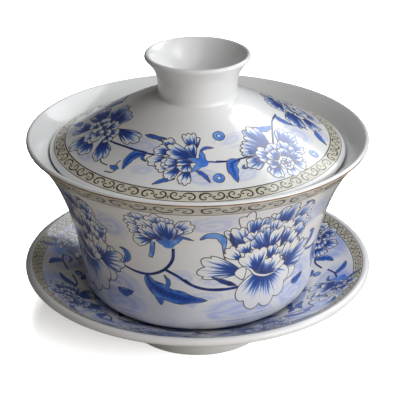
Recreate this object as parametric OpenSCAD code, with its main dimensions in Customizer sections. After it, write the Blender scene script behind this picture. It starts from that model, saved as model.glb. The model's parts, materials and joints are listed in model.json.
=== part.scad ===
// A gaiwan: a flared tea bowl with a domed lid, standing in the well of its own saucer.
// Millimetres, +Z up. The origin is the centre of the saucer's foot ring, level with the table.
// Every piece is turned about the Z axis, so each one is a single outline of [radius, height] points.

/* [Saucer] */
// Diameter across the rim
saucer_d = 109.4; // [106:0.2:114]
// Height of the rim's top above the table
saucer_h = 24.8; // [24.8:0.1:27]
// Thickness of the rounded rim
saucer_rim = 2.5; // [2:0.1:2.8]
// Outer diameter of the foot ring
saucer_foot_d = 44.8; // [43:0.2:47]
// Depth of the recess inside the foot ring
saucer_recess = 3.4; // [2.4:0.1:3.8]
// Height of the floor of the well that holds the bowl's foot
well_z = 7.6; // [7:0.1:8]
// Diameter of the well's floor
well_d = 44.4; // [43.4:0.2:45]

/* [Bowl] */
// Diameter across the flared rim
bowl_d = 105; // [100:0.5:110]
// Height from the foot to the rim's top
bowl_h = 59.2; // [56:0.1:64]
// Diameter of the upright wall, just above the belly
belly_d = 73; // [72:0.2:74]
// Thickness of the rounded rim
bowl_rim = 1.7; // [1.4:0.1:2]
// Thickness of the wall at the belly
bowl_wall = 2.4; // [2:0.1:3]
// Outer diameter of the foot ring
bowl_foot_d = 40; // [38:0.2:41]
// Depth of the recess inside the foot ring
bowl_recess = 3.2; // [2:0.1:3.6]

/* [Lid] */
// Diameter across the edge
lid_d = 91; // [88:0.2:92]
// Thickness of the rounded edge
lid_edge = 2.4; // [2:0.1:2.8]
// Height of the dome's flat top above the edge's centre
dome_h = 17.2; // [15:0.1:20]
// Thickness of the dome
dome_wall = 2.6; // [2.2:0.1:3]

/* [Knob] */
// Diameter across the flared rim
knob_d = 32.2; // [28:0.2:36]
// Diameter at the neck
knob_neck_d = 24; // [22:0.2:26]
// Height from the dome to the rim's top
knob_h = 13; // [10:0.1:16]
// Thickness of the rounded rim
knob_rim = 1.6; // [1.2:0.1:2]

/* [Fit] */
// Gap under the bowl's foot
foot_gap = 0.1; // [0.05:0.05:0.5]
// Gap between the lid's edge and the bowl's wall
lid_gap = 0.3; // [0.2:0.05:0.6]

/* [Hidden] */
$fn = 180;

porcelain = [0.95, 0.95, 0.96];
foot_round = 1;
foot_w = 3.2;

// Points of a cubic Bezier from a towards b. Its handles stand off a and b by pull[0] and pull[1].
// The last point is left to the next stretch.
function curve(a, b, pull, steps = 20) =
    [for (i = [0:steps - 1])
        let (t = i / steps, u = 1 - t)
        u * u * (u + 3 * t) * a + t * t * (t + 3 * u) * b + 3 * u * t * (u * pull[0] + t * pull[1])];

// The point of an arc at an angle
function polar(centre, radius, angle) = centre + radius * [cos(angle), sin(angle)];

// Points of an arc. The last point is left to the next stretch.
function arc(centre, radius, from, to, steps = 12) =
    [for (i = [0:steps - 1]) polar(centre, radius, from + (to - from) * i / steps)];

// The underside of a foot ring, from its recess to its outer wall, standing at height z
function foot_ring(outer_r, z, recess) =
    concat(
        [[0, z + recess], [outer_r - foot_w, z + recess]],
        arc([outer_r - foot_w + foot_round, z + foot_round], foot_round, 180, 270, 6),
        [[outer_r - foot_w + foot_round, z]],
        arc([outer_r - foot_round, z + foot_round], foot_round, 270, 360, 6),
        [[outer_r, z + foot_round]]);

// A solid turned about the Z axis
module turned(outline) {
    color(porcelain)
        rotate_extrude()
            polygon(outline);
}

// Saucer: a wide dish, steeper towards the rim, with a stepped well in the middle
saucer_r = saucer_d / 2;
saucer_foot_r = saucer_foot_d / 2;
saucer_foot_h = 4.6;
saucer_foot_lean = 0.4;
saucer_under_a = -63;
saucer_upper_a = 121;
saucer_under_pull = [[9, 4.4], [-10, -6]];
dish_pull = [[-6.3, -4.2], [8.5, 3.7]];
well_r = well_d / 2;
well_round = 1.2;
well_step = [2.2, 3.8];
well_pull = [[-1.4, -0.7], [0, 0.8]];

module saucer() {
    nose = [saucer_r - saucer_rim / 2, saucer_h - saucer_rim / 2];
    under_start = [saucer_foot_r + saucer_foot_lean, saucer_foot_h];
    under_end = polar(nose, saucer_rim / 2, saucer_under_a);
    dish_edge = polar(nose, saucer_rim / 2, saucer_upper_a);
    well_mouth = [well_r, well_z] + well_step;
    turned(concat(
        foot_ring(saucer_foot_r, 0, saucer_recess),
        curve(under_start, under_end, saucer_under_pull),
        arc(nose, saucer_rim / 2, saucer_under_a, saucer_upper_a),
        curve(dish_edge, well_mouth, dish_pull),
        curve(well_mouth, [well_r, well_z + well_round], well_pull, 8),
        arc([well_r - well_round, well_z + well_round], well_round, 0, -90, 6),
        [[well_r - well_round, well_z], [0, well_z]]));
}

// Bowl: a round belly under an upright wall that flares out to the rim
bowl_z = well_z + foot_gap;
bowl_foot_r = bowl_foot_d / 2;
bowl_foot_h = 5.1;
belly_r = belly_d / 2;
belly = [belly_r, bowl_z + 13.9];
belly_inside = [belly_r - bowl_wall, bowl_z + 16.3];
bowl_floor_z = bowl_z + 6.6;
flare_a = 45;
belly_pull = [[10.5, 1.1], [-0.8, -6]];
flare_pull = [[1.1, 16.4], [-9, -8.5]];
inside_pull = [[-10, -6.4], [1.4, 16]];
floor_pull = [[-0.6, -6], [18, 0]];
bowl_nose = [bowl_d / 2 - bowl_rim / 2, bowl_z + bowl_h - bowl_rim / 2];
rim_outside = polar(bowl_nose, bowl_rim / 2, flare_a - 90);
rim_inside = polar(bowl_nose, bowl_rim / 2, flare_a + 90);
wall_inside = curve(rim_inside, belly_inside, inside_pull, 28);

module bowl() {
    foot_top = [bowl_foot_r, bowl_z + bowl_foot_h];
    turned(concat(
        foot_ring(bowl_foot_r, bowl_z, bowl_recess),
        curve(foot_top, belly, belly_pull),
        curve(belly, rim_outside, flare_pull, 28),
        arc(bowl_nose, bowl_rim / 2, flare_a - 90, flare_a + 90),
        wall_inside,
        curve(belly_inside, [0, bowl_floor_z], floor_pull),
        [[0, bowl_floor_z]]));
}

// Lid: a dome with a flatter border and a rounded edge, which rests on the bowl's wall inside the rim
edge_r = lid_edge / 2;
nose_r = lid_d / 2 - edge_r;
wall_lean = 54;
seat_z = lookup(nose_r + edge_r * sin(wall_lean), wall_inside);
lid_z = seat_z + edge_r * cos(wall_lean) + lid_gap / cos(wall_lean);
lid_top_z = lid_z + dome_h;
pad_r = knob_neck_d / 2 + 0.5;
border_a = 65;
border_run = [-3.2, 1.5];
dome_under_pull = [[16, 0], [-9.5, 6.2]];
dome_pull = [[-12, 6.4], [5, -0.8]];

module lid_dome() {
    nose = [nose_r, lid_z];
    border = polar(nose, edge_r, border_a);
    under = polar(nose, edge_r, border_a - 180);
    turned(concat(
        curve([0, lid_top_z - dome_wall], under, dome_under_pull, 32),
        arc(nose, edge_r, border_a - 180, border_a),
        [border],
        curve(border + border_run, [pad_r, lid_top_z], dome_pull, 32),
        [[pad_r, lid_top_z], [0, lid_top_z]]));
}

// Knob: a flared cup, luted to the flat top of the dome
neck_r = knob_neck_d / 2;
neck_z = lid_top_z + 1.5;
cup_floor_z = lid_top_z + 1.8;
knob_under_a = -40;
luting_pull = [[-0.2, 0.2], [0, -0.6]];
knob_pull = [[0.1, 6], [-2.3, -2.6]];
cup_pull = [[-3.2, -3], [neck_r - 1.6, 0]];

module lid_knob() {
    rim_r = knob_rim / 2;
    nose = [knob_d / 2 - rim_r, lid_top_z + knob_h - rim_r];
    turned(concat(
        [[0, lid_top_z]],
        curve([pad_r, lid_top_z], [neck_r, neck_z], luting_pull, 6),
        curve([neck_r, neck_z], polar(nose, rim_r, knob_under_a), knob_pull),
        arc(nose, rim_r, knob_under_a, knob_under_a + 180),
        curve(polar(nose, rim_r, knob_under_a + 180), [0, cup_floor_z], cup_pull, 24),
        [[0, cup_floor_z]]));
}

saucer();
bowl();
lid_dome();
lid_knob();
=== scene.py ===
"""A blue and white porcelain gaiwan: bowl, lid and saucer turned from the outlines of the CAD nodes, with the
painted decoration laid on the glaze as thin films of colour. Lengths are in mm until a mesh is made."""

import json
import math

import bpy
import numpy as np
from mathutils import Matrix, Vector
from mathutils.geometry import delaunay_2d_cdt


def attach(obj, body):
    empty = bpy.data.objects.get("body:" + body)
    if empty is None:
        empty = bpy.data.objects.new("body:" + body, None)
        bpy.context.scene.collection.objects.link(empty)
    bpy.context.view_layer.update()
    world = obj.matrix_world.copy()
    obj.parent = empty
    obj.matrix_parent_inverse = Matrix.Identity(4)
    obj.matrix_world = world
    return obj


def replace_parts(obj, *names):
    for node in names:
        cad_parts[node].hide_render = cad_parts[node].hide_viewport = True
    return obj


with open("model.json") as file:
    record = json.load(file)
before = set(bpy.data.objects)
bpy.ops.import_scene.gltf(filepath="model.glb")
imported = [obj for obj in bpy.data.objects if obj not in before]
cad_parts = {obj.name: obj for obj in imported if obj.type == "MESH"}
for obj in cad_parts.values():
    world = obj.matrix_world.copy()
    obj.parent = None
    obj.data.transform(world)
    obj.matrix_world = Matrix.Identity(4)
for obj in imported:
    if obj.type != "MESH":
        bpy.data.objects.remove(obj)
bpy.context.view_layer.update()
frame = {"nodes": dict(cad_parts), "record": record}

MM = 0.001
BODY_OF = {node: body for body, nodes in frame["record"]["behaviour"]["bodies"].items() for node in nodes}


# ---- outlines read from the CAD nodes


def seam_outline(node):
    """The outline of a turned node as [radius, height] points, from its lower end to its upper one."""
    near = 1e-7
    mesh = frame["nodes"][node].data
    spots = [
        (round(v.co.x / MM, 4), round(v.co.z / MM, 4)) if abs(v.co.y) < near and v.co.x > -near else None
        for v in mesh.vertices
    ]
    links = {}
    for edge in mesh.edges:
        a, b = (spots[i] for i in edge.vertices)
        if a and b and a != b:
            links.setdefault(a, set()).add(b)
            links.setdefault(b, set()).add(a)
    ends = [spot for spot in links if len(links[spot]) == 1]
    path = [min(ends, key=lambda spot: spot[1])]
    while links[path[-1]] - set(path):
        path += links[path[-1]] - set(path)
    return np.array(path)


def smoothed(points):
    """The same outline with more points on a smooth curve through them, and a flag for each real corner."""
    step, corner, far_longer = 0.7, math.radians(30), 2.5
    gaps = np.diff(points, axis=0)
    lengths = np.hypot(*gaps.T)
    headings = gaps / lengths[:, None]
    turns = np.arccos(np.clip((headings[1:] * headings[:-1]).sum(1), -1, 1))
    is_corner = np.r_[True, turns > corner, True]
    made, flags = [], []
    for i, length in enumerate(lengths):
        tangents = []
        for at, other in ((i, i - 1), (i + 1, i + 1)):
            if is_corner[at] or length > far_longer * lengths[other]:
                tangents.append(headings[i] * length)
            elif lengths[other] > far_longer * length:
                tangents.append(headings[other] * length)
            else:
                blend = headings[i] * lengths[other] + headings[other] * length
                tangents.append(blend / np.hypot(*blend) * length)
        count = max(1, math.ceil(length / step))
        for k in range(count):
            u = k / count
            made.append(
                (2 * u**3 - 3 * u**2 + 1) * points[i]
                + (u**3 - 2 * u**2 + u) * tangents[0]
                + (3 * u**2 - 2 * u**3) * points[i + 1]
                + (u**3 - u**2) * tangents[1]
            )
            flags.append(bool(is_corner[i] and k == 0))
    return np.array(made + [points[-1]]), np.array(flags + [True])


class Wall:
    """A stretch of an outline as a turned surface. A place on it is an angle round the axis and a distance
    along the stretch. The angle is 0 at the front and grows to the right."""

    def __init__(self, outline):
        self.outline = outline
        self.along = np.r_[0, np.cumsum(np.hypot(*np.diff(outline, axis=0).T))]
        tangent = np.gradient(outline, self.along, axis=0)
        tangent /= np.hypot(*tangent.T)[:, None]
        self.normal = np.stack([tangent[:, 1], -tangent[:, 0]], axis=1)

    def radius(self, along):
        return np.interp(along, self.along, self.outline[:, 0])

    def points(self, theta, along, lift):
        """Points in metres at that height above the glaze, and the normals there."""
        r, z = (np.interp(along, self.along, self.outline[:, k]) for k in (0, 1))
        nr, nz = (np.interp(along, self.along, self.normal[:, k]) for k in (0, 1))
        out = np.stack([np.sin(theta), -np.cos(theta)], axis=1)
        spots = np.column_stack([out * (r + lift * nr)[:, None], z + lift * nz]) * MM
        normals = np.column_stack([out * nr[:, None], nz])
        return spots, normals / np.linalg.norm(normals, axis=1)[:, None]

    def unrolled(self, degrees, along):
        """Lays flat points on the wall about a place as on a cone, so that nothing stretches."""
        near = 2
        slope = (self.radius(along + near) - self.radius(along - near)) / (2 * near)
        apex = self.radius(along) / slope

        def spread(flat):
            q = apex + flat[:, 1]
            reach = np.sign(apex) * np.hypot(flat[:, 0], q)
            theta = math.radians(degrees) + np.arctan2(flat[:, 0], np.abs(q)) / abs(slope)
            return theta, along + reach - apex

        return spread

    def rolled(self, middle):
        """Lays flat points on the wall with x straight round it and y the distance along it."""
        r0 = self.radius(middle)
        return lambda flat: (flat[:, 0] / r0, flat[:, 1])


# ---- materials

PORCELAIN = (0.80, 0.805, 0.81)
GLOSS = {"Roughness": 0.3, "Coat Weight": 0.6, "Coat Roughness": 0.09, "Coat IOR": 1.5, "IOR": 1.45}


class Finish:
    """A node material in the making: a Principled shader, and short calls for the nodes behind it."""

    def __init__(self, name, **sockets):
        self.material = bpy.data.materials.new(name)
        self.material.use_nodes = True
        self.tree = self.material.node_tree
        self.shader = self.tree.nodes["Principled BSDF"]
        for socket, value in {**GLOSS, **sockets}.items():
            self.shader.inputs[socket].default_value = value

    def node(self, kind, inputs=(), **settings):
        made = self.tree.nodes.new(kind)
        for key, value in settings.items():
            setattr(made, key, value)
        for key, value in dict(inputs).items():
            self.feed(made.inputs[key], value)
        return made

    def feed(self, socket, value):
        if isinstance(value, bpy.types.NodeSocket):
            self.tree.links.new(value, socket)
        else:
            socket.default_value = value

    def math(self, operation, a, b=0.0):
        return self.node("ShaderNodeMath", {0: a, 1: b}, operation=operation).outputs[0]

    def ease(self, value, start, end, low=0.0, high=1.0):
        """A smooth step from low, at start, to high, at end."""
        inputs = {"Value": value, "From Min": start, "From Max": end, "To Min": low, "To Max": high}
        return self.node("ShaderNodeMapRange", inputs, interpolation_type="SMOOTHSTEP").outputs[0]

    def mix(self, share, a, b):
        made = self.node("ShaderNodeMix", data_type="RGBA")
        for socket, value in zip([made.inputs[0], *made.inputs[6:8]], (share, a, b), strict=True):
            if not isinstance(value, bpy.types.NodeSocket) and socket.type == "RGBA":
                value = (*value, 1)
            self.feed(socket, value)
        return made.outputs[2]

    def noise(self, scale, detail=2.0, vector=None):
        """Noise at that many waves a metre over the object, or a flat unit where a vector is given."""
        if vector is None:
            vector = self.node("ShaderNodeTexCoord").outputs["Object"]
        inputs = {"Vector": vector, "Scale": scale, "Detail": detail}
        return self.node("ShaderNodeTexNoise", inputs).outputs[0]

    def ripple(self, scale, depth):
        """A glaze that is not quite flat."""
        height = self.noise(scale, 1.0)
        bump = self.node("ShaderNodeBump", {"Height": height, "Distance": depth, "Strength": 1.0})
        self.tree.links.new(bump.outputs[0], self.shader.inputs["Normal"])

    def colour(self, socket):
        self.feed(self.shader.inputs["Base Color"], socket)

    def gloss_varies(self, low, high, scale):
        self.feed(self.shader.inputs["Roughness"], self.ease(self.noise(scale), 0.3, 0.7, low, high))

    def brush(self):
        """What the drawing knows of each spot: reach, angle, seed and depth."""
        read = self.node("ShaderNodeAttribute", attribute_name="brush")
        parts = self.node("ShaderNodeSeparateColor", {0: read.outputs["Color"]})
        return [*parts.outputs[:3], read.outputs["Alpha"]]

    def spot(self, x, x_waves, y, y_waves, seed):
        """A place in a noise, from two of the brush's numbers and the seed."""
        inputs = {0: self.math("MULTIPLY", x, x_waves), 1: self.math("MULTIPLY", y, y_waves), 2: seed}
        return self.node("ShaderNodeCombineXYZ", inputs).outputs[0]


def glaze():
    """White porcelain with duller pools in its glaze, faint specks and a slight ripple."""
    f = Finish("glazed_porcelain")
    pool_tint = (0.965, 0.975, 0.985)
    pools = tuple(c * t for c, t in zip(PORCELAIN, pool_tint, strict=True))
    body = f.mix(f.ease(f.noise(35.0, 3.0), 0.35, 0.7), PORCELAIN, pools)
    specks = f.ease(f.noise(2600.0, 1.0), 0.79, 0.83)
    f.colour(f.mix(f.math("MULTIPLY", specks, 0.35), body, (0.42, 0.36, 0.30)))
    f.gloss_varies(0.285, 0.345, 60.0)
    f.ripple(40.0, 0.00003)
    return f.material


def biscuit():
    """The unglazed clay of a foot ring."""
    f = Finish("bare_clay", **{"Coat Weight": 0.0})
    f.colour(f.mix(f.ease(f.noise(900.0, 4.0), 0.35, 0.7), (0.66, 0.60, 0.53), (0.50, 0.43, 0.36)))
    f.gloss_varies(0.7, 0.9, 700.0)
    f.ripple(1800.0, 0.00008)
    return f.material


def petal_ink():
    """Cobalt streaks that run out from a petal's root and fade to white before its edge."""
    f = Finish("petal_cobalt")
    reach, angle, seed, depth = f.brush()
    fan = f.spot(angle, 1.5, reach, 0.9, seed)
    streaks = f.noise(1.0, 2.5, fan)
    patches = f.noise(0.28, 1.0, fan)
    spread = f.math("ADD", f.math("MULTIPLY", streaks, 1.95), f.math("MULTIPLY", patches, 0.35))
    limit = f.math("MULTIPLY", depth, spread)
    share = f.math("DIVIDE", reach, f.math("MAXIMUM", limit, 0.02))
    blue = f.ease(share, 1.06, 0.5)
    ramp = f.node("ShaderNodeValToRGB", {0: blue})
    stops = [
        (0.0, PORCELAIN),
        (0.22, (0.36, 0.48, 0.76)),
        (0.55, (0.06, 0.15, 0.47)),
        (1.0, (0.018, 0.052, 0.27)),
    ]
    while len(ramp.color_ramp.elements) < len(stops):
        ramp.color_ramp.elements.new(0.5)
    for element, (place, colour) in zip(ramp.color_ramp.elements, stops, strict=True):
        element.position = place
        element.color = (*colour, 1)
    f.colour(ramp.outputs[0])
    return f.material


def leaf_ink():
    """Cobalt, darker along the middle of a leaf and paler in patches towards its edges."""
    f = Finish("leaf_cobalt")
    along, across, seed, depth = f.brush()
    off_middle = f.math("ABSOLUTE", f.math("SUBTRACT", across, 0.5))
    cloud = f.noise(1.0, 2.0, f.spot(along, 7.0, across, 3.0, seed))
    pale = f.math("MULTIPLY", f.ease(off_middle, 0.08, 0.5), f.ease(cloud, 0.3, 0.68))
    cobalt = f.mix(depth, (0.045, 0.19, 0.80), (0.012, 0.045, 0.30))
    f.colour(f.mix(pale, cobalt, (0.12, 0.33, 0.85)))
    return f.material


def wash_ink():
    """A pale lavender cloud with a spiral in it, gone by its edge."""
    f = Finish("lavender_wash")
    reach, angle, seed, depth = f.brush()
    cloud = f.noise(1.3, 2.0, f.spot(angle, 0.8, reach, 2.5, seed))
    stirred = f.math("ADD", angle, f.math("MULTIPLY", cloud, 1.6))
    turn = f.math("ADD", f.math("MULTIPLY", reach, 15.0), stirred)
    swirl = f.ease(f.math("SINE", turn), -0.8, 0.6, 0.5, 1.0)
    fade = f.ease(f.math("ADD", reach, f.math("MULTIPLY", cloud, 0.35)), 1.12, 0.72)
    amount = f.math("MULTIPLY", f.math("MULTIPLY", swirl, fade), depth)
    f.colour(f.mix(amount, PORCELAIN, (0.44, 0.51, 0.80)))
    return f.material


def plain_ink(name, thin, thick, scale, **sockets):
    """A line colour that runs a little thicker and thinner as the brush does."""
    f = Finish(name, **sockets)
    f.colour(f.mix(f.ease(f.noise(scale, 2.0), 0.35, 0.65), thin, thick))
    return f.material


GLAZE = glaze()
CLAY = biscuit()
INKS = {
    "petal": petal_ink(),
    "leaf": leaf_ink(),
    "wash": wash_ink(),
    "line": plain_ink("outline_grey", (0.15, 0.125, 0.125), (0.055, 0.045, 0.055), 500.0),
    "stem": plain_ink("stem_navy", (0.022, 0.055, 0.25), (0.008, 0.02, 0.12), 300.0),
    "sky": plain_ink("sky_blue", (0.17, 0.37, 0.82), (0.05, 0.18, 0.66), 260.0),
    "ground": plain_ink("band_silver", (0.65, 0.615, 0.505), (0.575, 0.54, 0.435), 200.0, Roughness=0.38),
    "scroll": plain_ink("band_charcoal", (0.045, 0.04, 0.04), (0.014, 0.012, 0.014), 600.0),
    "copper": plain_ink("band_copper", (0.30, 0.17, 0.11), (0.17, 0.085, 0.05), 400.0),
}


# ---- turned porcelain


def in_scene(name, data):
    """A new object in the scene."""
    made = bpy.data.objects.new(name, data)
    bpy.context.scene.collection.objects.link(made)
    return made


def shown(mesh, node):
    """A piece made of the mesh, which moves with the body of a CAD node."""
    piece = in_scene(mesh.name, mesh)
    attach(piece, BODY_OF[node])
    return piece


def turned_porcelain(node):
    """Puts a fine body in place of a CAD node, and gives its outline."""
    segments, on_axis, bare_height = 320, 1e-6, 0.45
    outline, corners = smoothed(seam_outline(node))
    if outline[0, 0] > 0:
        outline = np.vstack([[0, outline[0, 1]], outline])
        corners = np.r_[False, corners]
    if outline[-1, 0] > 0:
        outline = np.vstack([outline, [0, outline[-1, 1]]])
        corners = np.r_[corners, False]
    verts, rings, ring_of = [], [], []
    for number, (r, z) in enumerate(outline):
        count = 1 if r < on_axis else segments
        rings.append(range(len(verts), len(verts) + count))
        angles = [math.tau * k / segments for k in range(count)]
        verts += [(r * math.sin(a) * MM, -r * math.cos(a) * MM, z * MM) for a in angles]
        ring_of += [number] * count
    faces, heights = [], []
    for a, b, low, high in zip(rings, rings[1:], outline[:, 1], outline[1:, 1]):
        for k in range(segments):
            after = (k + 1) % segments
            corner_ids = [a[k % len(a)], a[after % len(a)], b[after % len(b)], b[k % len(b)]]
            faces.append(list(dict.fromkeys(corner_ids)))
            heights.append(max(low, high))
    mesh = bpy.data.meshes.new(node + "_body")
    mesh.from_pydata(verts, [], faces)
    mesh.materials.append(GLAZE)
    if node in ("saucer", "bowl"):
        bare_top = outline[:, 1].min() + bare_height
        mesh.materials.append(CLAY)
        mesh.polygons.foreach_set("material_index", [int(h < bare_top) for h in heights])
    mesh.polygons.foreach_set("use_smooth", [True] * len(faces))
    joined = [[ring_of[v] for v in edge.vertices] for edge in mesh.edges]
    mesh.edges.foreach_set("use_edge_sharp", [bool(a == b and corners[a]) for a, b in joined])
    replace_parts(shown(mesh, node), node)
    return outline


outlines = {node: turned_porcelain(node) for node in frame["nodes"]}


def bowl_wall():
    """The outside of the bowl, from the top of its foot ring to its rim."""
    foot_zone, slack = 2, 0.05
    r, z = outlines["bowl"].T
    rim = int(z.argmax())
    foot_r = r[z < z.min() + foot_zone].max()
    foot = int(np.nonzero(r[:rim] <= foot_r + slack)[0][-1])
    return Wall(outlines["bowl"][foot : rim + 1])


def upper_side(node, column):
    """The top of a piece, in from its widest point (column 0) or its highest one (column 1)."""
    start = int(outlines[node][:, column].argmax())
    return Wall(outlines[node][start:-1])


WALLS = {"bowl": bowl_wall(), "lid_dome": upper_side("lid_dome", 0), "saucer": upper_side("saucer", 1)}


# ---- flat drawing


def turning(degrees):
    """The matrix of a turn to the left."""
    c, s = math.cos(math.radians(degrees)), math.sin(math.radians(degrees))
    return np.array([[c, -s], [s, c]])


def circle(count):
    """That many points round the unit circle."""
    around = np.linspace(0, math.tau, count, endpoint=False)
    return np.stack([np.cos(around), np.sin(around)], axis=1)


def left_of(ways):
    """The directions a quarter turn to the left of some."""
    return np.stack([-ways[:, 1], ways[:, 0]], axis=1)


def through(points, step):
    """A smooth line through a few points, with a point about every step."""
    p = np.array(points, float)
    p = np.vstack([2 * p[0] - p[1], p, 2 * p[-1] - p[-2]])
    made = []
    for a, b, c, d in zip(p, p[1:], p[2:], p[3:]):
        count = max(2, math.ceil(np.hypot(*(c - b)) / step))
        u = (np.arange(count) / count)[:, None]
        made.append(
            0.5 * (2 * b + (c - a) * u + (2 * a - 5 * b + 4 * c - d) * u**2 + (3 * b - a - 3 * c + d) * u**3)
        )
    return np.vstack([*made, p[-2:-1]])


def ribbon(line, widths, closed=False):
    """Small triangles that cover a line as wide as it says."""
    if closed:
        tangent = np.roll(line, -1, axis=0) - np.roll(line, 1, axis=0)
        line, tangent = (np.vstack([a, a[:1]]) for a in (line, tangent))
    else:
        tangent = np.gradient(line, axis=0)
    tangent = tangent / np.maximum(np.hypot(*tangent.T), 1e-9)[:, None]
    side = left_of(tangent) * (np.broadcast_to(widths, len(line)) / 2)[:, None]
    left, right = line + side, line - side
    made = []
    for i in range(len(line) - 1):
        made += [[right[i], right[i + 1], left[i + 1]], [right[i], left[i + 1], left[i]]]
    return made


def area(polygon):
    """Positive where the points run counter-clockwise."""
    x, y = np.array(polygon).T
    return 0.5 * float(np.sum(x * np.roll(y, -1) - y * np.roll(x, -1)))


class Drawing:
    """Flat shapes in mm, painted one over another. Where they are drawn can be scaled, turned and moved."""

    least_area = merge_distance = 1e-5

    def __init__(self, spacing=1.15):
        self.shapes = []
        self.spacing = spacing
        self.set_place()

    def set_place(self, at=(0, 0), scale=1.0, turn=0.0):
        self.matrix = scale * turning(turn)
        self.at, self.scale = np.array(at, float), scale

    def place(self, points):
        return np.array(points, float) @ self.matrix.T + self.at

    def add(self, polygons, ink, brush=None):
        """Paints polygons as one shape. Its brush gives the numbers that its ink reads."""
        kept = []
        for polygon in polygons:
            size = area(polygon)
            if abs(size) > self.least_area:
                kept.append(polygon if size > 0 else polygon[::-1])
        if kept:
            self.shapes.append((kept, ink, brush))

    def stroke(self, points, width, ink="stem", taper=(1.0, 1.0)):
        """A brush line through a few points. It starts and ends at those shares of its width."""
        line = self.place(through(points, 0.5 / self.scale))
        u = np.linspace(0, 1, len(line))
        swell = np.interp(u, [0, 0.25, 0.75, 1], [taper[0], 1, 1, taper[1]])
        self.add(ribbon(line, width * self.scale * swell), ink)

    def triangulated(self):
        """Points, triangles, and the number of the topmost shape over each triangle."""
        points, faces, owners = [], [], []
        for number, (polygons, _, _) in enumerate(self.shapes):
            for polygon in polygons:
                faces.append(list(range(len(points), len(points) + len(polygon))))
                points += [Vector(p) for p in polygon]
                owners.append(number)
        low, high = np.min(points, axis=0), np.max(points, axis=0)
        # more points in staggered rows, so that a film bends with the wall under it
        margin, row_gap = self.spacing * 0.3, self.spacing * 0.87
        for k, y in enumerate(np.arange(low[1] + self.spacing * 0.37, high[1] - margin, row_gap)):
            start = low[0] + self.spacing * (0.41 + 0.5 * (k % 2))
            points += [Vector((x, y)) for x in np.arange(start, high[0] - margin, self.spacing)]
        net = delaunay_2d_cdt(points, [], faces, 1, self.merge_distance, True)
        spots, _, triangles, _, _, sources = net
        tops = [max((owners[f] for f in found), default=-1) for found in sources]
        kept = [k for k, top in enumerate(tops) if top >= 0]
        return np.array(spots), np.array([triangles[k] for k in kept]), np.array([tops[k] for k in kept])

    def brushes(self, corners, owners):
        """Four numbers for the shaders at each corner of each triangle."""
        made = np.zeros((*corners.shape[:2], 4))
        for number in np.unique(owners):
            brush = self.shapes[number][2]
            if brush is not None:
                mine = owners == number
                made[mine] = brush(corners[mine].reshape(-1, 2)).reshape(-1, 3, 4)
        return made


def film(name, node, spread, drawing, lift, copies=1):
    """Lays a drawing on a wall as a thin closed layer of colour, in equal copies round the axis."""
    wall = WALLS[node]
    sink, fineness = 0.02, 1e4
    flat, triangles, owners = drawing.triangulated()
    brush = drawing.brushes(flat[triangles], owners)
    theta, along = spread(flat)
    theta = np.concatenate([theta + math.tau * k / copies for k in range(copies)])
    along = np.tile(along, copies)
    triangles = np.concatenate([triangles + k * len(flat) for k in range(copies)])
    brush, owners = np.tile(brush, (copies, 1, 1)), np.tile(owners, copies)
    used = np.unique(triangles)
    places = np.stack([np.sin(theta), np.cos(theta), along], axis=1)[used]
    _, first, back = np.unique(np.round(places * fineness), axis=0, return_index=True, return_inverse=True)
    order = np.full(len(theta), -1)
    order[used] = back.ravel()
    triangles = order[triangles]
    theta, along = theta[used][first], along[used][first]
    whole = (triangles != np.roll(triangles, -1, axis=1)).all(1)
    triangles, brush, owners = triangles[whole], brush[whole], owners[whole]

    above, normals = wall.points(theta, along, lift)
    below, _ = wall.points(theta, along, -sink)
    count = len(above)
    starts = triangles.ravel()
    ends = np.roll(triangles, -1, axis=1).ravel()
    codes, backward = starts * count + ends, ends * count + starts
    rims = np.nonzero(~np.isin(codes, backward))[0]
    a, b = starts[rims], ends[rims]
    sides = np.stack([b, a, a + count, b + count], axis=1)
    brush_a = brush.reshape(-1, 4)[rims]
    brush_b = np.roll(brush, -1, axis=1).reshape(-1, 4)[rims]

    mesh = bpy.data.meshes.new(name)
    faces = [*triangles.tolist(), *(triangles[:, ::-1] + count).tolist(), *sides.tolist()]
    mesh.from_pydata(np.vstack([above, below]).tolist(), [], faces)
    inks = [ink for _, ink, _ in drawing.shapes]
    names = [ink for ink in INKS if ink in inks]
    for ink in names:
        mesh.materials.append(INKS[ink])
    index = np.array([names.index(ink) for ink in inks])[owners]
    index = np.concatenate([index, index, index[rims // 3]])
    mesh.polygons.foreach_set("material_index", index.astype(np.int32))
    mesh.polygons.foreach_set("use_smooth", np.ones(len(faces), bool))
    layer = mesh.attributes.new("brush", "FLOAT_COLOR", "CORNER")
    brushes = brush, brush[:, ::-1], np.stack([brush_b, brush_a, brush_a, brush_b], axis=1)
    colours = np.concatenate([part.reshape(-1, 4) for part in brushes])
    layer.data.foreach_set("color", colours.astype(np.float32).ravel())
    mesh.normals_split_custom_set_from_vertices(np.vstack([normals, -normals]).tolist())
    shown(mesh, node)


# ---- petals, leaves and washes


def brush_rows(first, second, seed, depth):
    """The four numbers that the inks read at each point."""
    fixed = np.ones(len(first))
    return np.stack([first, second, fixed * seed, fixed * depth], axis=1)


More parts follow.
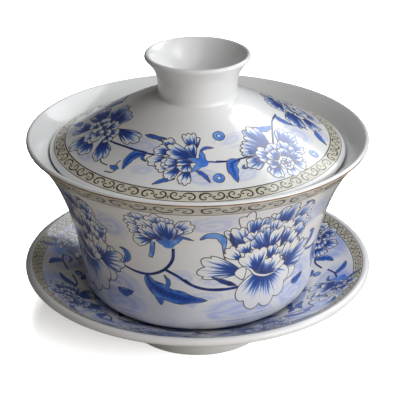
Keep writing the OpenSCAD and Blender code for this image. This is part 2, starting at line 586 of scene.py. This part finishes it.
class Petal:
    """A fan that opens from its root to a scalloped edge. half is the angle from its middle to its side."""

    # how deep, crowded and blunt the scallops are, how square the shoulders, how wavy the edge
    cut, crowding, blunt, square, wavy = 0.15, 0.13, 0.55, 3.6, 0.07
    # for the noise in its ink: what keeps the angle positive, and the step between seeds
    angle_shift, seed_step = 20, 3.7

    def __init__(self, root, tip, half, lobes, depth, bend, seed):
        line = np.array(tip) - np.array(root)
        self.root, self.length = np.array(root), float(np.hypot(*line))
        self.axis = line / self.length
        self.across = np.array([-self.axis[1], self.axis[0]])
        self.half, self.lobes, self.depth, self.bend, self.seed = math.radians(half), lobes, depth, bend, seed

    def edge(self, share):
        """Distance from the root to the edge, at a share of the half angle from -1 to 1."""
        uneven = share + self.crowding * np.sin(math.pi * share) * math.sin(self.seed * 2.4)
        lobe = np.abs(np.sin(math.pi * self.lobes * (uneven + 1) / 2)) ** self.blunt
        shoulder = np.sqrt(np.maximum(1 - np.abs(share) ** self.square, 0))
        wave = 1 + self.wavy * np.sin(2.7 * share + self.seed * 1.7)
        return self.length * shoulder * (1 - self.cut * (1 - lobe)) * wave

    def outline(self):
        pitch = 0.42
        arc = self.length * (2 * self.half + 2)
        count = max(16, int(arc / pitch), 8 * self.lobes)
        share = np.sin(np.linspace(-math.pi / 2, math.pi / 2, count)[1:-1])
        r = self.edge(share)
        a, c = r * np.cos(share * self.half), r * np.sin(share * self.half)
        c = c + self.bend * a * a / self.length
        return np.vstack([self.root, self.root + np.outer(a, self.axis) + np.outer(c, self.across)])

    def brush(self, points):
        """Reach from 0 at the root to 1 at the edge, and the angle as a distance round the edge."""
        rel = points - self.root
        a = rel @ self.axis
        c = rel @ self.across - self.bend * a * a / self.length
        angle = np.arctan2(c, a)
        share = np.clip(angle / self.half, -0.995, 0.995)
        reach = np.clip(np.hypot(a, c) / self.edge(share), 0, 1.3)
        around = angle * self.length + self.angle_shift
        return brush_rows(reach, around, self.seed * self.seed_step, self.depth)


def petals(d, rows, line=0.3):
    """Petals from back to front. Each is (root, tip, half angle, lobes, depth of its blue, any bend)."""
    for seed, (root, tip, half, lobes, depth, *bend) in enumerate(rows, start=1):
        petal = Petal(*d.place([root, tip]), half, lobes, depth, sum(bend), seed)
        outline = petal.outline()
        d.add([outline], "petal", petal.brush)
        d.add(ribbon(outline, line, closed=True), "line")


def leaf_brush(spine, half_widths, seed, depth):
    """Reads how far a spot is along a leaf, and from side to side."""
    share = np.linspace(0, 1, len(spine))
    tangent = np.gradient(spine, axis=0)

    def brush(points):
        gaps = points[:, None, :] - spine[None]
        nearest = (gaps**2).sum(2).argmin(1)
        gap, way = gaps[np.arange(len(points)), nearest], tangent[nearest]
        off = (way[:, 0] * gap[:, 1] - way[:, 1] * gap[:, 0]) / np.hypot(*way.T)
        across = 0.5 + 0.5 * np.clip(off / np.maximum(half_widths[nearest], 0.05), -1, 1)
        return brush_rows(share[nearest], across, seed, depth)

    return brush


def leaf(d, points, width, seed=1, depth=0.5, veins=False, ink="leaf", fullest=0.42, line=0.26):
    """A pointed leaf along a few points, widest at a share of its length. depth is that of its blue."""
    spine = d.place(through(points, 0.45 / d.scale))
    u = np.linspace(0, 1, len(spine))
    bulge = np.sin(math.pi * u ** (math.log(0.5) / math.log(fullest))) ** 0.85
    half = width * d.scale / 2 * bulge * (1 + 0.1 * np.sin(u * 19 + seed * 3))
    half = np.maximum(half, 0.02)
    tangent = np.gradient(spine, axis=0)
    side = left_of(tangent) / np.hypot(*tangent.T)[:, None]
    outline = np.vstack([spine - side * half[:, None], (spine + side * half[:, None])[::-1]])
    d.add([outline], ink, leaf_brush(spine, half, seed, depth))
    d.add(ribbon(outline, line, closed=True), "line")
    if veins:
        last, gap = int(len(spine) * 0.88), 3
        d.add(ribbon(spine[:last], np.linspace(0.5, 0.12, last) * min(1.0, width / 3)), "stem")
        for k in range(gap, last - gap, gap):
            ahead = tangent[k] / np.hypot(*tangent[k])
            for way in (-1, 1):
                end = spine[k] + (ahead * 0.75 + side[k] * way * 0.5) * half[k] * 1.2
                vein = np.array([spine[k], (spine[k] + end) / 2, end])
                d.add(ribbon(vein, np.array([0.26, 0.17, 0.06])), "stem")


def wash(d, centre, size, turn, strength, seed):
    """A soft cloud, size wide and high."""
    shape = turning(turn) @ np.diag(np.array(size) / 2)
    back = np.linalg.inv(d.matrix @ shape)
    middle = d.place([centre])[0]

    def brush(points):
        x, y = ((points - middle) @ back.T).T
        return brush_rows(np.hypot(x, y), np.arctan2(y, x) + 7, seed, strength)

    d.add([d.place(circle(48) @ shape.T + np.array(centre))], "wash", brush)


# ---- flowers

# Each petal, from back to front: root, tip, half angle in degrees, lobes, depth of its blue, any bend.
GREAT_PEONY = [
    # round the far side
    ((3, 10), (-0.2, 18.6), 24, 3, 0.66),
    ((-5, 8), (-9.2, 22), 16, 2, 0.5),
    ((-3.6, 8), (-3.4, 19), 36, 4, 0.86),
    ((8, 9), (14.2, 17.6), 33, 4, 0.8),
    ((3.5, 10), (5.2, 21.2), 36, 4, 0.8),
    ((7.5, 4), (15.4, 11.6), 36, 3, 0.84),
    ((6, -6), (14.2, -11.4), 34, 3, 0.5),
    ((5.5, -4.5), (18.8, -3.2), 36, 4, 0.84),
    ((-6.5, 1), (-12, 5.6), 32, 3, 0.5),
    ((-5, -3.8), (-19.8, -0.4), 29, 4, 0.7, 0.04),
    ((-5, 5), (-11.4, 15), 26, 3, 0.72),
    # long frills that run up to the right
    ((1.5, 6), (2.6, 15), 62, 5, 0.78, 0.12),
    ((7.5, 6), (11.8, 13.8), 46, 4, 0.8),
    ((-1, 4.5), (-3.2, 13.6), 50, 5, 0.84, 0.1),
    ((8.6, 2), (14.4, 8.2), 46, 4, 0.8),
    ((3.5, 4.5), (7.4, 13), 30, 3, 0.62),
    ((8, -1.5), (14.2, 2.8), 38, 3, 0.76),
    # the hollow in the middle
    ((-4.6, 3), (-7.2, 8.6), 44, 2, 0.66),
    ((3.4, 1.5), (-3.6, 10.4), 42, 4, 0.9, -0.2),
    ((2.6, 3), (3.6, 11.6), 26, 2, 0.6),
    ((6.2, 2.5), (8.8, 10.4), 24, 2, 0.72),
    ((8, 0), (11.6, 7), 24, 2, 0.66),
    ((3, -1.5), (3.2, 4.6), 30, 2, 0.8),
    ((5.2, -2.5), (6.4, 3.2), 26, 2, 0.72),
    ((7.6, -4.4), (10.6, 3.6), 22, 2, 0.5),
    ((9.4, -4.6), (13.6, 3), 20, 2, 0.5),
    # the skirt, then the cup before it
    ((1.6, -3), (3.8, -17.6), 72, 5, 0.62),
    ((-5, -7), (-6.9, -2.1), 36, 1, 0.12),
    ((3.4, -6.9), (9, -2.6), 30, 2, 0.5),
    ((2.4, -6.6), (6.4, -0.4), 32, 3, 0.52),
    ((0.2, -5.8), (2.4, -0.2), 34, 2, 0.66),
    ((-0.6, -4.6), (-3.6, 5), 46, 4, 0.62, 0.1),
]
CUPPED_PEONY = [
    # outer ring
    ((-4, 3.4), (-14.6, 4.6), 34, 4, 0.88),
    ((-1, 5), (-7.4, 11.4), 40, 3, 0.88),
    ((0.8, 5), (0.8, 12.8), 42, 3, 0.84),
    ((4.6, 5.8), (15, 8.2), 25, 3, 0.78),
    ((5, 0.6), (13.2, -3), 34, 4, 0.82),
    ((-5, -0.4), (-12.6, -4.6), 36, 3, 0.84),
    ((1.6, -2), (5.2, -8), 44, 3, 0.8),
    ((-1.4, -2), (-1.6, -9.3), 48, 4, 0.82),
    # the cup, which opens upward
    ((1, 3), (2.2, 7.4), 56, 4, 0.74),
    ((3.5, 3), (7.2, 5.6), 42, 3, 0.7),
    ((-2, 2.5), (-5.4, 5.6), 48, 3, 0.7),
    ((-3, 1), (-7.6, 0.8), 44, 3, 0.62),
    ((0.5, 2.4), (-0.6, -4.6), 66, 5, 0.74),
    ((4.4, 2.4), (8, 1.2), 44, 3, 0.7),
    ((0.8, 3), (0.2, -2.6), 58, 4, 0.7),
    ((0.4, 1.5), (-1.8, 5), 46, 3, 0.68),
    ((2.2, 1.2), (4, 4.2), 46, 3, 0.66),
    ((1, 0.6), (-3.6, 1.2), 38, 2, 0.62),
    ((0.8, -0.8), (1.4, 2.2), 46, 3, 0.66),
]
OPEN_PEONY = [
    # outer ring
    ((1, 0), (-1.8, 9.9), 34, 4, 0.84),
    ((4.5, 0), (12.2, 5.8), 37, 4, 0.88),
    ((-1, 0.5), (-8.3, 5.3), 31, 4, 0.8),
    ((5.5, -2), (12.6, -1.6), 36, 3, 0.84),
    ((-2.6, -1.2), (-9.7, -1.9), 34, 3, 0.78),
    ((4.6, -4.2), (8.2, -8.6), 38, 3, 0.8),
    ((-0.8, -3.8), (-5.2, -8.4), 40, 3, 0.78),
    ((2, -6.2), (1.6, -10.4), 50, 3, 0.7),
    # inner ring
    ((0, -2.5), (-4.8, 1.2), 48, 3, 0.8),
    ((1.5, -2.5), (1.2, 3), 48, 3, 0.8),
    ((3.5, -3), (8, 1.2), 46, 3, 0.84),
    ((4, -4.6), (9, -4.2), 42, 3, 0.8),
    ((-0.5, -4.6), (-4, -3.8), 48, 2, 0.72),
    ((0.6, -3.6), (-0.6, 0.6), 54, 3, 0.8),
    ((3, -3.8), (5, -0.4), 52, 3, 0.76),
]
SIDE_PEONY = [
    # seen from the side, opening to the left of its calyx
    ((-1.5, 2.4), (-5.4, 5.7), 44, 3, 0.72),
    ((4.2, 2.2), (4.1, 7.6), 15, 1, 0.8),
    ((4, 2.2), (1, 9.3), 25, 3, 0.7),
    ((-2, 1.2), (-7.7, 2.7), 36, 3, 0.74),
    ((-2.6, -1), (-9, -2.2), 33, 4, 0.64),
    ((-1, -2.4), (-6.5, -4.7), 34, 3, 0.66),
    ((1.2, -4), (-3.7, -7.3), 38, 3, 0.7),
    ((3.2, -4), (2.3, -9.6), 36, 4, 0.76),
    ((0.8, -1.4), (-4.6, -3.7), 42, 3, 0.8),
    ((2.8, -1.4), (1.6, -5.6), 52, 3, 0.8),
    ((1.4, -0.8), (-4, -1.4), 36, 2, 0.8),
    ((4.6, -0.4), (2.2, 4.6), 30, 2, 0.78),
    ((5, -0.8), (-4.4, 2.7), 26, 4, 0.74),
    ((4.8, -1.3), (-0.8, -2.3), 20, 2, 0.84),
]
RISING_PEONY = [
    # seen from the side, opening upward from its calyx
    ((-1.4, 2.2), (-6.9, 7.3), 35, 4, 0.74),
    ((1.2, 1), (-1.6, 8.6), 36, 4, 0.74),
    ((2.2, 1), (3.3, 8), 34, 4, 0.76),
    ((3.6, -0.8), (10.6, 4.7), 33, 4, 0.72),
    ((-2, 0.2), (-9.6, 3.8), 33, 4, 0.7),
    ((-2.4, -1), (-9.6, 0.1), 32, 3, 0.7),
    ((-1.2, -2.4), (-8.4, -5), 34, 3, 0.7),
    ((0.2, -1), (-4.9, 5), 36, 4, 0.76),
    ((0.6, -3), (-5.8, 0.8), 33, 4, 0.78),
    ((3.4, -3), (6.4, 3.2), 30, 3, 0.8),
    ((1.5, -4), (-2.9, 2.4), 30, 3, 0.8),
    ((2.6, -4.4), (2, 5), 40, 5, 0.82),
]


def open_peony(d):
    """Seen from above, with a ruffled heart."""
    petals(d, OPEN_PEONY)
    heart = np.array([2, -5.2])
    for count, inner, outer in ((8, 0.5, 2.7), (5, 0.1, 1.5)):
        ruffles = []
        for k in range(count):
            angle = math.tau * (k * 3 % count) / count + outer
            way = np.array([math.cos(angle), math.sin(angle)])
            ruffles.append((heart + way * inner, heart + way * outer, 40, 2, 0.62))
        petals(d, ruffles, 0.24)


def calyx(d, middle, size, tips):
    """A bulb with pointed sepals that reach up round the flower."""
    for tip in tips:
        bow = (np.array(middle) + np.array(tip)) / 2 + np.array([0.15, 0.1])
        leaf(d, [middle, bow, tip], 1.9, ink="sky", fullest=0.35, line=0.2)
    bulb = circle(20) * np.array(size) / 2 + np.array(middle)
    d.add([d.place(bulb)], "sky")


def side_peony(d):
    """Seen from the side."""
    petals(d, SIDE_PEONY)
    calyx(d, (6.9, -1.3), (3.6, 3.2), [(2.4, -0.4), (5.7, 3.2), (4, -5.2)])
    leaf(d, [(5.6, 2.7), (7, 4.2), (9.3, 4.7)], 0.9, 2, 0.3)
    leaf(d, [(5.4, -4.3), (8, -5.6), (10.2, -7.9)], 1.3, 3, 0.6)


def ring(d, centre, size):
    """A blue disc with a pale eye."""
    edge = circle(28) * size / 2
    for share, ink in ((1, "line"), (0.86, "sky"), (0.42, "line"), (0.34, "sky"), (0.2, "wash")):
        d.add([d.place(edge * share + np.array(centre))], ink)


# ---- painted sprays


def great_spray():
    """The big peony of the bowl's wall, its stem and the leaves beside it."""
    d = Drawing()
    leaf(d, [(10.6, 20), (13.4, 17.6), (13.2, 14.6), (10.6, 11.8)], 2.6, 10, 0.7)
    d.stroke([(-22.5, -7.2), (-19, -9.2), (-13, -10), (-5, -9.2)], 0.95)
    d.stroke([(-12.6, 5.2), (-12.2, 3.2), (-11.4, 1.2)], 0.4, "line", (1, 0.5))
    leaf(d, [(-20, 9.5), (-18, 11.4), (-14.8, 11.3), (-12.9, 8.2), (-12.6, 4.6)], 2.3, 5, ink="sky")
    petals(d, GREAT_PEONY)
    for fold in ([(-6.8, -8.7), (-10.8, -7), (-14.8, -5.1)], [(-8.7, 6.2), (-10.6, 9.4), (-11.9, 13)]):
        leaf(d, fold, 1.5, ink="stem")
    rolled_rim = [(-5.6, -1.9), (-3.2, -3.1), (-1.2, -5.4), (2.2, -6.9), (6, -7)]
    d.stroke(rolled_rim, 1.15, "line", (0.3, 0.3))
    d.stroke(rolled_rim, 0.6, "wash", (0.2, 0.2))
    return d


def rising_spray():
    """The smaller peony of the bowl's wall, its stems and the long leaf."""
    d = Drawing()
    leaf(d, [(-12.3, -16.4), (-10.7, -13.2), (-11.6, -10.9), (-13.4, -10.7)], 2, 5, 0.5)
    leaf(d, [(-14.4, -27.7), (-12, -27.9), (-9.2, -26.4)], 2.8, 6, 0.8)
    leaf(d, [(0.7, -22.4), (1.3, -19.6), (0.2, -17.2)], 1.2, 7, 0.3)
    leaf(d, [(-2.2, -24), (-1.4, -26.4), (-1.1, -28.6)], 2.2, 8, 0.4)
    long_leaf = [(-5, -18.2), (-3.7, -21.3), (0.3, -24.2), (5, -25.6), (11.2, -27)]
    leaf(d, long_leaf, 5.2, 9, 0.75, veins=True)
    stem = [(-13.8, -17.2), (-8, -18.2), (-3.5, -17.6), (0.6, -15), (3.2, -11), (3.9, -6.4)]
    d.stroke(stem, 0.95, taper=(0.5, 1))
    d.stroke([(0.6, -15), (4, -17.3), (7.5, -20.6), (11, -22.6), (16.4, -24)], 0.95)
    d.stroke([(-2, -4.2), (-2.5, -8), (-3.3, -11)], 1.6, "line", (1, 0.8))
    d.stroke([(-2.1, -4.2), (-2.6, -8), (-3.3, -10.6)], 1, "sky", (1, 0.8))
    petals(d, RISING_PEONY)
    leaf(d, [(4, -3.2), (6.7, -1.6), (10.2, -3.1)], 1.1, 4, 0.3)
    calyx(d, (2.6, -5), (3.6, 2.9), [(-0.9, -3.6), (1.2, -1.2), (4.4, -1.8), (7, -2.2)])
    return d


def side_spray():
    """The lid's peony seen from the side."""
    d = Drawing()
    d.stroke([(-21.5, 6.6), (-17, 4.2), (-12, 1.7), (-6, 0.1)], 0.6)
    d.stroke([(8.4, -0.6), (11.5, -0.1), (15.5, 1.4)], 0.5)
    d.stroke([(-22, -4.6), (-19.5, -5.4), (-17.8, -4)], 0.4, "line")
    d.stroke([(-17.8, -4), (-18.6, -2.4), (-17.6, -1)], 0.35, "line")
    leaf(d, [(-17.6, -4.2), (-19.6, -3.4), (-20.6, -2.6)], 1.5, ink="sky")
    leaf(d, [(-10.2, 0.7), (-11, -0.6), (-9.6, -2)], 0.8, 12, 0.3)
    leaf(d, [(-10.6, 0.8), (-13.8, 0.5), (-15.3, -1.6), (-16.3, -4.5)], 3, 13, 0.4, veins=True)
    leaf(d, [(-11.8, 8.3), (-8.5, 7.1), (-4.8, 6.5)], 1.2, 14, 0.5)
    leaf(d, [(0, -7.9), (-3, -8.6), (-6.3, -10.3)], 1.4, 15, 0.4)
    ring(d, (10.1, 9.5), 3.7)
    ring(d, (12.4, -5.8), 3.5)
    side_peony(d)
    return d


def open_spray():
    """The lid's peony seen from above."""
    d = Drawing()
    d.stroke([(-17, 4.6), (-14, 2.8), (-10, 1.7), (-5, 0.8)], 0.55)
    d.stroke([(3.2, 2.4), (6.6, 6.6), (10, 10.3), (14.5, 13)], 0.6)
    leaf(d, [(-10.6, -0.5), (-11.6, -1.4), (-10.3, -2)], 0.7, 19, 0.3)
    leaf(d, [(-10.6, 1.6), (-13.6, 1.5), (-15, -1.2), (-16.2, -4.8)], 3.1, 20, 0.3, veins=True)
    leaf(d, [(7.9, 8.5), (5, 8), (2.2, 8.9), (0, 10.4)], 1.9, 21, 0.3)
    leaf(d, [(13.4, 12.6), (14.4, 10), (17.6, 7.4)], 2, 22, 0.3)
    leaf(d, [(19.5, 12), (20.5, 8), (22.5, 5)], 1.2, 23, 0.3)
    ring(d, (14.6, -5), 3.4)
    open_peony(d)
    return d


def cupped_spray():
    """The lid's peony with a cup of nested petals."""
    d = Drawing()
    d.stroke([(8, 2), (13, 4.2), (17.5, 6.6), (21, 9)], 0.6)
    d.stroke([(12.4, -3), (14.5, -3.6), (17.2, -2.6)], 0.4, "line")
    leaf(d, [(14.4, 11.8), (17, 13.6), (20, 14.6)], 1.2, 37, 0.5)
    leaf(d, [(-13, -2.6), (-17, -3), (-20, -4.6)], 2.2, 38, 0.4)
    petals(d, CUPPED_PEONY)
    return d


def saucer_open_spray():
    """The open peony among the twigs of the saucer."""
    d = Drawing()
    d.stroke([(4, 2), (8, 7), (14, 8.5), (20, 6)], 0.6)
    d.stroke([(-4, 1), (-9, 6.5), (-15, 7)], 0.6)
    leaf(d, [(12, 8), (15, 4.5), (18.5, 3.4)], 2.4, 26, 0.4, veins=True)
    leaf(d, [(-8, 6), (-11.5, 3), (-15, 2.4)], 2.4, 27, 0.4, veins=True)
    leaf(d, [(9, -2.5), (12, -3.6), (16, -3)], 1.6, 28, 0.6)
    d.stroke([(-3, 8), (-1, 12), (5, 15.5)], 0.5)
    leaf(d, [(5, 15.5), (9, 15.4), (12.5, 12.6)], 2.4, 41, 0.3, veins=True)
    leaf(d, [(-1, 12), (-4.5, 14.6), (-8.5, 14.6)], 2.4, 42, 0.3, veins=True)
    leaf(d, [(15, 10.5), (17.5, 12.5), (17.5, 16)], 1.8, 43, 0.5, veins=True)
    leaf(d, [(-13, 9.5), (-15, 12), (-14, 15.4)], 1.8, 44, 0.4, veins=True)
    leaf(d, [(0.5, 17), (-1, 19), (0.5, 22)], 1.8, 45, 0.5)
    d.set_place(at=(0, 1.8), scale=0.92, turn=20)
    open_peony(d)
    return d


def saucer_side_spray():
    """The peony seen from the side among the twigs of the saucer."""
    d = Drawing()
    d.stroke([(4.5, 0), (9, 1.5), (13, 5)], 0.6)
    leaf(d, [(9, 1.5), (12, -0.5), (15.5, -1)], 2.2, 31, 0.3, veins=True)
    leaf(d, [(-6, 9), (-9.5, 9.4), (-13, 7)], 2, 32, 0.3, veins=True)
    leaf(d, [(-9, -2.8), (-12, -3.2), (-15, -2)], 1.4, 33, 0.6)
    ring(d, (11.5, 8.5), 2.8)
    d.stroke([(1, 7), (2, 11), (-2.5, 15)], 0.5)
    d.stroke([(-5, 4), (-9, 6), (-13, 3)], 0.5)
    leaf(d, [(2, 11), (5.5, 12.6), (8.5, 15.2)], 2.2, 46, 0.3, veins=True)
    leaf(d, [(-2.5, 15), (-6, 14.2), (-9.5, 11.5)], 2.2, 47, 0.3, veins=True)
    leaf(d, [(-2.5, 15), (-2, 18.4), (0.5, 21)], 1.9, 48, 0.5, veins=True)
    leaf(d, [(-13, 3), (-15.5, 4.6), (-17.5, 3)], 1.8, 49, 0.3)
    d.set_place(at=(-1, 1), scale=0.95, turn=-12)
    side_peony(d)
    return d


# Soft clouds round each spray: centre, size, turn in degrees, strength, seed.
CLOUDS = {
    "great": [
        ((-4, -18.5), (30, 13), 0, 0.8, 1),
        ((-17, 16.5), (19, 11), 8, 0.6, 2),
        ((-14, -6.5), (12, 6), 0, 0.5, 3),
        ((15, -18.5), (20, 11), -10, 0.75, 4),
        ((20, 11), (14, 14), -25, 0.75, 5),
    ],
    "rising": [
        ((-14.5, -25), (20, 13), -8, 0.8, 6),
        ((13.5, 3.5), (14, 9), 5, 0.55, 7),
        ((-15.5, -1), (12, 10), 20, 0.55, 8),
        ((6, -17.5), (10, 6), -20, 0.55, 9),
        ((10, -27), (14, 8), 0, 0.6, 10),
    ],
    "side": [
        ((-12, 4.5), (15, 7), -15, 0.55, 11),
        ((8, -6.5), (14, 8), 0, 0.6, 12),
        ((13, 7.5), (11, 5), 10, 0.5, 13),
        ((-10, -5), (11, 5), 0, 0.5, 14),
    ],
    "open": [
        ((15, 3.5), (15, 12), 0, 0.7, 15),
        ((-12, -3.5), (12, 7), 0, 0.55, 16),
        ((0, -9), (18, 5), 0, 0.6, 17),
        ((-8, 9), (11, 5), 0, 0.5, 18),
    ],
    "cupped": [
        ((7, -6.5), (13, 5), 10, 0.6, 34),
        ((17, 9), (6, 12), -20, 0.5, 35),
        ((-14, -5), (10, 6), 0, 0.5, 36),
    ],
    "saucer_open": [
        ((2, 15), (30, 18), 0, 1, 39),
        ((0, -1), (40, 20), 0, 1.1, 24),
        ((17, 3), (17, 17), 30, 1.1, 25),
    ],
    "saucer_side": [
        ((0, 14), (24, 16), 0, 1, 40),
        ((0, 0), (36, 19), 5, 1.1, 29),
        ((-14, 2), (17, 14), -10, 1, 30),
    ],
}


def cloud_drawing(rows):
    """Clouds, on a coarser net than flowers need."""
    d = Drawing(1.6)
    for row in rows:
        wash(d, *row)
    return d


# ---- scroll bands


def curl(width, height):
    """A line that leaves a small curl, arches over and winds into a wider one, centred on the origin."""
    count, crest = 70, 22
    u = np.linspace(0, 1, count)
    small_curl, winding = 30 * np.exp(-((u / 0.13) ** 2)), 3.1 / (1 - 0.87 * u)
    turned = np.cumsum(small_curl + winding) * (u[1] - u[0])
    heading = turned[crest] - turned
    line = np.cumsum(np.stack([np.cos(heading), np.sin(heading)], axis=1), axis=0)
    low, high = line.min(0), line.max(0)
    return (line - (low + high) / 2) / (high - low) * np.array([width, height])


def scroll_band(wall, start, end, repeats, brush_width, fill, edges):
    """One repeat of four curls and two dots on a silver ground, between two edge lines of (ink, width).

    fill is how wide a curl is in its cell. Long edges have many points, to bend with the wall."""
    middle, height = (start + end) / 2, end - start
    period = math.tau * wall.radius(middle) / repeats
    d = Drawing(0.5)
    rungs = np.linspace(start, end, math.ceil(height * 2) + 1)
    d.add([np.array([(period, y) for y in rungs] + [(0, y) for y in rungs[::-1]])], "ground")
    steps = np.linspace(0, period, math.ceil(period) + 1)
    for level, way, (ink, width) in zip((start, end), (1, -1), edges, strict=True):
        d.add(ribbon(np.column_stack([steps, np.full(len(steps), level + way * width / 2)]), width), ink)
    cell, tall = period / 4, height * 0.6
    line = curl(cell * fill, tall)
    swell = brush_width * (0.7 + 0.7 * np.sin(np.linspace(0.3, 2.9, len(line))) ** 2)
    for k, flip in enumerate(((-1, 1), (1, -1), (-1, -1), (1, 1))):
        shift = np.array([cell * (k + 0.5) + 0.06 * cell * (1 if k % 2 == 0 else -1), middle])
        placed = line * np.array(flip) + shift
        d.add(ribbon(placed, swell), "scroll")
        for tip, size in ((placed[0], 1.5), (placed[-1], 1.25)):
            d.add([tip + circle(10) * brush_width * size / 2], "scroll")
    star = [(-1, 0), (-0.25, -0.25), (0, -1.2), (0.25, -0.25)]
    star = np.array(star + [(-x, -y) for x, y in star]) * brush_width * 1.7
    low_dot = (period / 2, middle - tall * 0.22)
    high_dot = (cell * 0.03 + brush_width * 2, middle + tall * 0.22)
    for dot in (low_dot, high_dot):
        d.add([star + np.array(dot)], "scroll")
    return d


# How far each film stands above the glaze. A layer of sprays adds its step.
BAND_LIFT, CLOUD_LIFT, CLOUD_STEP, SPRAY_LIFT, SPRAY_STEP = 0.035, 0.016, 0.007, 0.045, 0.015


def lay_band(name, node, start, end, repeats, *style):
    """A band of that many repeats round a wall, between two distances along it."""
    drawing = scroll_band(WALLS[node], start, end, repeats, *style)
    film(name, node, WALLS[node].rolled((start + end) / 2), drawing, BAND_LIFT, repeats)


lay_band("bowl_scroll_band", "bowl", 62.6, 68.7, 12, 0.5, 0.76, (("scroll", 0.26), ("copper", 0.34)))
lay_band("lid_scroll_band", "lid_dome", 1.95, 6.0, 16, 0.38, 0.8, (("scroll", 0.2), ("scroll", 0.36)))
lay_band("saucer_scroll_band", "saucer", 0.9, 4.4, 30, 0.26, 0.84, (("copper", 0.2), ("scroll", 0.22)))


# ---- the sprays, laid round each wall


def lay_sprays(name, spray, clouds, node, degrees, along, count, layer):
    """Equal sprays round a wall, each a piece with a cloud beneath it. A higher layer covers a lower one."""
    cloud, flowers = cloud_drawing(CLOUDS[clouds]), spray()
    for k in range(count):
        spread = WALLS[node].unrolled(degrees + 360 / count * k, along)
        film(f"{name}_cloud_{k + 1}", node, spread, cloud, CLOUD_LIFT + CLOUD_STEP * layer)
        film(f"{name}_{k + 1}", node, spread, flowers, SPRAY_LIFT + SPRAY_STEP * layer)


lay_sprays("bowl_rising_peony", rising_spray, "rising", "bowl", -15, 53, 4, 0)
lay_sprays("bowl_great_peony", great_spray, "great", "bowl", 28, 40, 4, 1)
lay_sprays("lid_cupped_peony", cupped_spray, "cupped", "lid_dome", -72, 16, 2, 0)
lay_sprays("lid_side_peony", side_spray, "side", "lid_dome", -10, 18, 2, 1)
lay_sprays("lid_open_peony", open_spray, "open", "lid_dome", 42, 16, 2, 2)
lay_sprays("saucer_open_peony", saucer_open_spray, "saucer_open", "saucer", 25, 10.5, 4, 0)
lay_sprays("saucer_side_peony", saucer_side_spray, "saucer_side", "saucer", 72, 10, 4, 1)


# ---- light, floor and camera, in metres and watts


def paper(name, verts, faces, colour, glow):
    """A paper sheet that is part of the studio."""
    mesh = bpy.data.meshes.new(name)
    mesh.from_pydata(verts, [], faces)
    white = {"Emission Color": (1, 1, 1, 1), "Emission Strength": glow}
    f = Finish(name + "_paper", **{"Coat Weight": 0.0, "Specular IOR Level": 0.2, **white})
    f.colour(f.mix(f.noise(9.0, 2.0), colour, tuple(c * 0.98 for c in colour)))
    f.gloss_varies(0.75, 0.85, 30.0)
    mesh.materials.append(f.material)
    piece = in_scene(name, mesh)
    return piece


def plane(name, height, colour, glow):
    """A level square sheet."""
    size = 1.6
    corners = [(-size, -size, height), (size, -size, height), (size, size, height), (-size, size, height)]
    return paper(name, corners, [(0, 1, 2, 3)], colour, glow)


def backdrop():
    """A white paper ring round the studio, which only the camera sees."""
    radius, low, high, sides = 1.5, -0.05, 2.0, 64
    angles = [math.tau * k / sides for k in range(sides)]
    verts = [(radius * math.cos(a), radius * math.sin(a), z) for z in (low, high) for a in angles]
    faces = [(k, (k + 1) % sides, (k + 1) % sides + sides, k + sides) for k in range(sides)]
    return paper("backdrop", verts, faces, (0.2, 0.2, 0.2), 0.93)


def floor():
    """A white floor with lamps of its own, over the duller sheet whose bounce the porcelain sees."""
    seen = plane("floor", 0.0, (0.9, 0.9, 0.9), 0.42)
    for piece in (seen, backdrop()):
        piece.visible_diffuse = piece.visible_glossy = piece.visible_shadow = False
    under = plane("floor_under", -0.0005, (0.86, 0.79, 0.71), 0.0)
    under.visible_camera = under.visible_glossy = False
    lit = bpy.data.collections.new("lit_floor")
    lit.objects.link(seen)
    for name, azimuth, elevation, power in (("floor_top", 110, 78, 22.0), ("floor_front", 28, 32, 22.0)):
        lamp = softbox(name, azimuth, elevation, 0.7, power, (1.0, 1.0, 1.0))
        lamp.light_linking.receiver_collection = lit


def stand_off(piece, aim, way, distance):
    """Sets a lamp or a camera at a distance from a point, looking at it."""
    piece.location = Vector(aim) + way * distance
    piece.rotation_euler = (-way).to_track_quat("-Z", "Y").to_euler()


def softbox(name, azimuth, elevation, size, power, colour):
    """A round soft light that looks at the object. Azimuth 0 is in front, 90 on the right."""
    lamp = bpy.data.lights.new(name, "AREA")
    lamp.shape, lamp.size, lamp.energy, lamp.color = "DISK", size, power, colour
    piece = in_scene(name, lamp)
    a, e = math.radians(azimuth), math.radians(elevation)
    way = Vector((math.sin(a) * math.cos(e), -math.cos(a) * math.cos(e), math.sin(e)))
    stand_off(piece, (0, 0, 0.045), way, 0.9)
    return piece


def camera():
    """The photograph's camera, as fitted to the ellipses of the rims and the foot ring."""
    aim, distance, elevation = (0.00072, 0, 0.0435), 0.450, math.radians(25.08)
    data = bpy.data.cameras.new("camera")
    data.lens, data.sensor_width, data.clip_start = 128.9, 36.0, 0.01
    piece = in_scene("camera", data)
    stand_off(piece, aim, Vector((0, -math.cos(elevation), math.sin(elevation))), distance)
    bpy.context.scene.camera = piece


def room():
    """A dim warm world."""
    world = bpy.data.worlds.new("room")
    world.use_nodes = True
    background = world.node_tree.nodes["Background"].inputs
    background["Color"].default_value = (1.0, 0.93, 0.85, 1)
    background["Strength"].default_value = 0.045
    bpy.context.scene.world = world
    bpy.context.scene.view_settings.view_transform = "Standard"


floor()
camera()
softbox("window", 60, 18, 0.8, 5.6, (0.99, 0.995, 1.0))
softbox("front_right", 30, 42, 1.0, 2.8, (1.0, 0.96, 0.93))
softbox("back_right", 132, 42, 0.6, 4.3, (0.95, 0.985, 1.0))
room()
